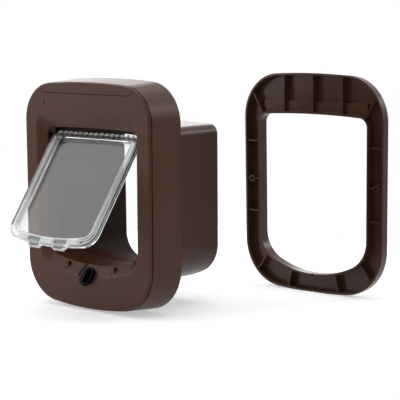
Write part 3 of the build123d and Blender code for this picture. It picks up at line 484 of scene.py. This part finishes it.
floor_z = cad_box[0][2]
FLOOR_GLOW, FLOOR_COLOUR = 0.45, "#F0F0F0"
left, near, right_end, far = -0.42, -0.45, 0.5, 0.55
floor_mesh = bpy.data.meshes.new("studio_floor")
floor_mesh.from_pydata([(left, near, floor_z), (right_end, near, floor_z), (right_end, far, floor_z),
                        (left, far, floor_z)], [], [(0, 1, 2, 3)])
floor = bpy.data.objects.new("studio_floor", floor_mesh)
scene.collection.objects.link(floor)
white_floor, tree, output = blank("white_floor")
glow_level = node(tree, "ShaderNodeMath", settings={"operation": "MULTIPLY"}, values={1: FLOOR_GLOW},
                  links={0: seen_directly(tree)})
paper = node(tree, "ShaderNodeBsdfDiffuse", values={"Color": linear(FLOOR_COLOUR)})
glow = node(tree, "ShaderNodeEmission", links={"Strength": glow_level.outputs["Value"]})
glowing = node(tree, "ShaderNodeAddShader", links={0: paper.outputs["BSDF"], 1: glow.outputs["Emission"]})
tree.links.new(glowing.outputs["Shader"], output.inputs["Surface"])
floor_mesh.materials.append(white_floor)
print("floor", round(right_end - left, 2), "by", round(far - near, 2), "m")

# %% World
WORLD_LIT = 0.15
world = bpy.data.worlds.new("studio_world")
scene.world = world
world.use_nodes = True
tree = world.node_tree
tree.nodes.clear()
output = node(tree, "ShaderNodeOutputWorld")
level = node(tree, "ShaderNodeMapRange", values={"To Min": WORLD_LIT, "To Max": 1.0},
             links={"Value": seen_directly(tree)})
sky = node(tree, "ShaderNodeBackground", values={"Color": (1.0, 1.0, 1.0, 1.0)},
           links={"Strength": level.outputs["Result"]})
tree.links.new(sky.outputs["Background"], output.inputs["Surface"])
print("world lights at", WORLD_LIT)

# %% [markdown]
# ## Lamps
# A wide softbox overhead gives most of the light, and one at the front left fills the face.
# A low one in front lifts the face's left side, and a weak one the walls on the right. Two
# strips behind draw bright lines along the upper edges.

# %% Lamps
def softbox(name, place, aim, width, height, watts):
    """A rectangular area lamp at place, turned to face aim."""
    lamp = bpy.data.lights.new(name, "AREA")
    lamp.shape = "RECTANGLE"
    lamp.size, lamp.size_y, lamp.energy = width, height, watts
    thing = bpy.data.objects.new(name, lamp)
    thing.location = place
    thing.rotation_mode = "QUATERNION"
    thing.rotation_quaternion = (Vector(aim) - Vector(place)).to_track_quat("-Z", "Y")
    scene.collection.objects.link(thing)
    print(name, watts, "W")
    return thing


softbox("overhead_softbox", (-0.1, 0.1, 1.7), (0.0, 0.1, 0.0), 2.4, 2.4, 24.0)
front_left = softbox("front_left_softbox", (-1.25, -0.8, 1.25), (0.0, 0.0, 0.0), 2.0, 1.4, 7.4)
softbox("front_left_card", (-0.55, -0.58, 0.26), (0.0, 0.0, 0.1), 1.3, 0.3, 1.9)
softbox("front_right_softbox", (1.2, -1.8, 0.9), (0.0, 0.0, 0.0), 1.4, 1.4, 1.2)
softbox("rear_right_strip", (1.3, 1.75, 1.2), (0.05, 0.05, 0.05), 1.0, 0.6, 11.0)
softbox("rear_low_strip", (-0.9, 0.95, 0.42), (0.0, 0.0, 0.12), 0.8, 0.4, 2.9)
# The flap's panel faces the front left softbox, and it already mirrors the white world there
front_left.visible_glossy = False

# %% [markdown]
# ## Sheets of paper
# A photographer shapes reflections with sheets of paper, because a moulded wall mirrors
# whatever stands opposite it. Each sheet has two levels, what it lights and what is mirrored.

# %% Paper cards
def paper_card(name, foot, half, tall, lit, mirrored):
    """An upright sheet from foot - half to foot + half: mirrored is how bright glossy surfaces see it, lit the rest."""
    rise = Vector((0.0, 0.0, tall))
    mesh = bpy.data.meshes.new(name)
    mesh.from_pydata([foot - half, foot + half, foot + half + rise, foot - half + rise], [], [(0, 1, 2, 3)])
    sheet = bpy.data.objects.new(name, mesh)
    scene.collection.objects.link(sheet)
    # The world behind it is white as well, so a view from the other side can look through it
    sheet.visible_camera = sheet.visible_transmission = False
    paper, tree, output = blank(name + "_paper")
    level = node(tree, "ShaderNodeMapRange", values={"To Min": lit, "To Max": mirrored},
                 links={"Value": seen_directly(tree)})
    shine = node(tree, "ShaderNodeEmission", links={"Strength": level.outputs["Result"]})
    tree.links.new(shine.outputs["Emission"], output.inputs["Surface"])
    mesh.materials.append(paper)
    print(name, round(2 * half.length, 2), "m wide")
    return sheet


BACKDROP_OFF, BACKDROP_HALF, BACKDROP_TALL, BACKDROP_LIT = 1.4, 0.5, 0.55, 0.4
ground = Vector((0.0, 0.0, floor_z))
away = Vector((-back.x, -back.y, 0.0)).normalized()
paper_card("backdrop", away * BACKDROP_OFF + ground, right * BACKDROP_HALF, BACKDROP_TALL, BACKDROP_LIT, 1.0)

# %% Card beside the outer frame
# Its side walls would mirror the white world too brightly, so a small grey sheet stands to their right, out of view
CARD_OFF, CARD_ASIDE, CARD_HALF, CARD_TALL, CARD_MIRRORED = 0.34, -0.04, 0.14, 0.24, 0.62
mirrored_way = Vector((back.x, -back.y, 0.0)).normalized()
card_across = Vector((mirrored_way.y, -mirrored_way.x, 0.0))
outer_middle = Vector((0.127, 0.21, 0.0))
side_card = paper_card("side_card", outer_middle + mirrored_way * CARD_OFF + card_across * CARD_ASIDE + ground,
                       card_across * CARD_HALF, CARD_TALL, 0.0, CARD_MIRRORED)
side_card.visible_shadow = side_card.visible_diffuse = False
